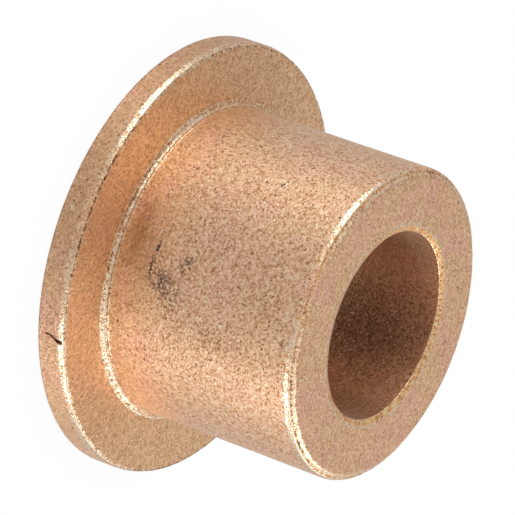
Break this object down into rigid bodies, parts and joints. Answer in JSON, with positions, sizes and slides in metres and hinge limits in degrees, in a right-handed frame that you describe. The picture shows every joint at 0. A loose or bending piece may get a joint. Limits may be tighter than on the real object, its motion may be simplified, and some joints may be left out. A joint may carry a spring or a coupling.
{
  "type": "flanged sleeve bushing",
  "caption": "Straight cylindrical plain-bearing sleeve with a thin round flange at one end, in porous sintered bronze, for a rotating shaft.",
  "frame": {"origin": "centre of the bore in the plane of the flange's back face", "axes": "+Z along the bore's axis from the flange towards the nose; X and Y are arbitrary, because the part is a body of revolution"},
  "size_m": [0.0222, 0.0222, 0.0127],
  "materials": {
    "sintered_bronze": "satin, finely granular, porous and oil-stained"
  },
  "bodies": {
    "root": {"flanged_bushing": "sintered_bronze"}
  },
  "joints": []
}
